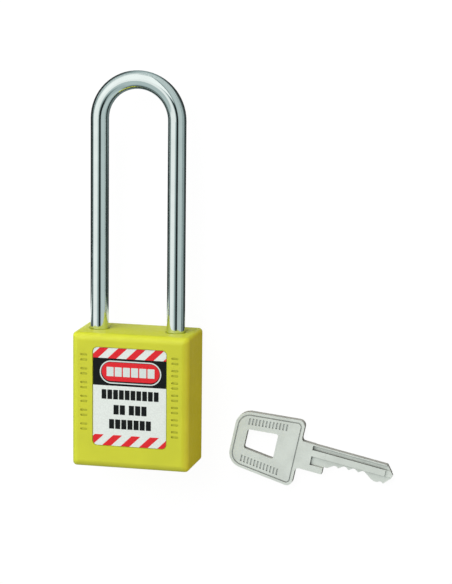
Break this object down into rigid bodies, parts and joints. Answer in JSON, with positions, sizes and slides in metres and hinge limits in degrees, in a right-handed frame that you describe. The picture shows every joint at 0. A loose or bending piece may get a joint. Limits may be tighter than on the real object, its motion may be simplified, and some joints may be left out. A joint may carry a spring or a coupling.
{
  "type": "safety padlock",
  "caption": "Lockout padlock with a moulded box body, long thin steel shackle, printed front label, pin tumbler cylinder, ball lock and its loose key.",
  "frame": {"origin": "centre of the body's flat back face", "axes": "+Z out of the front face, +Y from the body along the shackle, +X to the right seen from the front"},
  "size_m": [0.1045, 0.1368, 0.02],
  "materials": {
    "body_plastic": "satin",
    "cover_plastic": "satin",
    "housing_brass": "satin",
    "plug_brass": "satin",
    "pin_brass": "polished",
    "steel": "satin",
    "ball_steel": "polished",
    "spring_steel": "satin",
    "shackle_chrome": "polished",
    "label_film": "gloss",
    "key_nickel": "satin"
  },
  "bodies": {
    "case": {"body_shell": "body_plastic", "bottom_cover": "cover_plastic", "cylinder_housing": "housing_brass", "chamber_cover": "housing_brass", "ball_cage": "steel", "retaining_screw": "steel", "heel_pin": "steel", "shackle_spring": "spring_steel", "label_front": "label_film", "label_back": "label_film", "pin_spring_1": "spring_steel", "pin_spring_2": "spring_steel", "pin_spring_3": "spring_steel", "pin_spring_4": "spring_steel", "pin_spring_5": "spring_steel", "pin_spring_6": "spring_steel"},
    "cylinder_plug": {"plug": "plug_brass", "plug_clip": "spring_steel", "locking_cam": "steel"},
    "ball": {"locking_ball": "ball_steel"},
    "shackle": {"shackle": "shackle_chrome"},
    "key": {"key": "key_nickel"},
    "key_pin_1": {"key_pin_1": "pin_brass"},
    "key_pin_2": {"key_pin_2": "pin_brass"},
    "key_pin_3": {"key_pin_3": "pin_brass"},
    "key_pin_4": {"key_pin_4": "pin_brass"},
    "key_pin_5": {"key_pin_5": "pin_brass"},
    "key_pin_6": {"key_pin_6": "pin_brass"},
    "driver_pin_1": {"driver_pin_1": "pin_brass"},
    "driver_pin_2": {"driver_pin_2": "pin_brass"},
    "driver_pin_3": {"driver_pin_3": "pin_brass"},
    "driver_pin_4": {"driver_pin_4": "pin_brass"},
    "driver_pin_5": {"driver_pin_5": "pin_brass"},
    "driver_pin_6": {"driver_pin_6": "pin_brass"}
  },
  "joints": [
    {"name": "plug_turn", "type": "hinge", "parent": "case", "child": "cylinder_plug", "pos_m": [0, 0, 0.01], "axis": [0, 1, 0], "range_deg": [0, 90]},
    {"name": "ball_slide", "type": "slide", "parent": "case", "child": "ball", "axis": [-1, 0, 0], "range_m": [0, 0.0042]},
    {"name": "shackle_lift", "type": "slide", "parent": "case", "child": "shackle", "axis": [0, 1, 0], "range_m": [0, 0.0093], "deforming": ["shackle_spring"]},
    {"name": "key_lift_off", "type": "slide", "parent": "case", "child": "key", "axis": [0, 0, 1], "range_m": [0, 0.05]},
    {"name": "key_pin_1_drop", "type": "slide", "parent": "cylinder_plug", "child": "key_pin_1", "axis": [-1, 0, 0], "range_m": [0, 0.00281]},
    {"name": "key_pin_2_drop", "type": "slide", "parent": "cylinder_plug", "child": "key_pin_2", "axis": [-1, 0, 0], "range_m": [0, 0.00217]},
    {"name": "key_pin_3_drop", "type": "slide", "parent": "cylinder_plug", "child": "key_pin_3", "axis": [-1, 0, 0], "range_m": [0, 0.00198]},
    {"name": "key_pin_4_drop", "type": "slide", "parent": "cylinder_plug", "child": "key_pin_4", "axis": [-1, 0, 0], "range_m": [0, 0.00196]},
    {"name": "key_pin_5_drop", "type": "slide", "parent": "cylinder_plug", "child": "key_pin_5", "axis": [-1, 0, 0], "range_m": [0, 0.00392]},
    {"name": "key_pin_6_drop", "type": "slide", "parent": "cylinder_plug", "child": "key_pin_6", "axis": [-1, 0, 0], "range_m": [0, 0.0038]},
    {"name": "driver_pin_1_push", "type": "slide", "parent": "case", "child": "driver_pin_1", "axis": [1, 0, 0], "range_m": [0, 0.0012], "deforming": ["pin_spring_1"]},
    {"name": "driver_pin_2_push", "type": "slide", "parent": "case", "child": "driver_pin_2", "axis": [1, 0, 0], "range_m": [0, 0.0012], "deforming": ["pin_spring_2"]},
    {"name": "driver_pin_3_push", "type": "slide", "parent": "case", "child": "driver_pin_3", "axis": [1, 0, 0], "range_m": [0, 0.0012], "deforming": ["pin_spring_3"]},
    {"name": "driver_pin_4_push", "type": "slide", "parent": "case", "child": "driver_pin_4", "axis": [1, 0, 0], "range_m": [0, 0.0012], "deforming": ["pin_spring_4"]},
    {"name": "driver_pin_5_push", "type": "slide", "parent": "case", "child": "driver_pin_5", "axis": [1, 0, 0], "range_m": [0, 0.0012], "deforming": ["pin_spring_5"]},
    {"name": "driver_pin_6_push", "type": "slide", "parent": "case", "child": "driver_pin_6", "axis": [1, 0, 0], "range_m": [0, 0.0012], "deforming": ["pin_spring_6"]}
  ],
  "couplings": [
    {"joint": "plug_turn", "follows": "shackle_lift", "rad_per_m": 168.9},
    {"joint": "ball_slide", "follows": "shackle_lift", "ratio": 0.45161},
    {"joint": "key_pin_2_drop", "follows": "key_pin_1_drop", "ratio": 0.77264},
    {"joint": "key_pin_3_drop", "follows": "key_pin_1_drop", "ratio": 0.70159},
    {"joint": "key_pin_4_drop", "follows": "key_pin_1_drop", "ratio": 0.69449},
    {"joint": "key_pin_5_drop", "follows": "key_pin_1_drop", "ratio": 1.3943},
    {"joint": "key_pin_6_drop", "follows": "key_pin_1_drop", "ratio": 1.3517},
    {"joint": "driver_pin_2_push", "follows": "driver_pin_1_push", "ratio": 1},
    {"joint": "driver_pin_3_push", "follows": "driver_pin_1_push", "ratio": 1},
    {"joint": "driver_pin_4_push", "follows": "driver_pin_1_push", "ratio": 1},
    {"joint": "driver_pin_5_push", "follows": "driver_pin_1_push", "ratio": 1},
    {"joint": "driver_pin_6_push", "follows": "driver_pin_1_push", "ratio": 1}
  ]
}
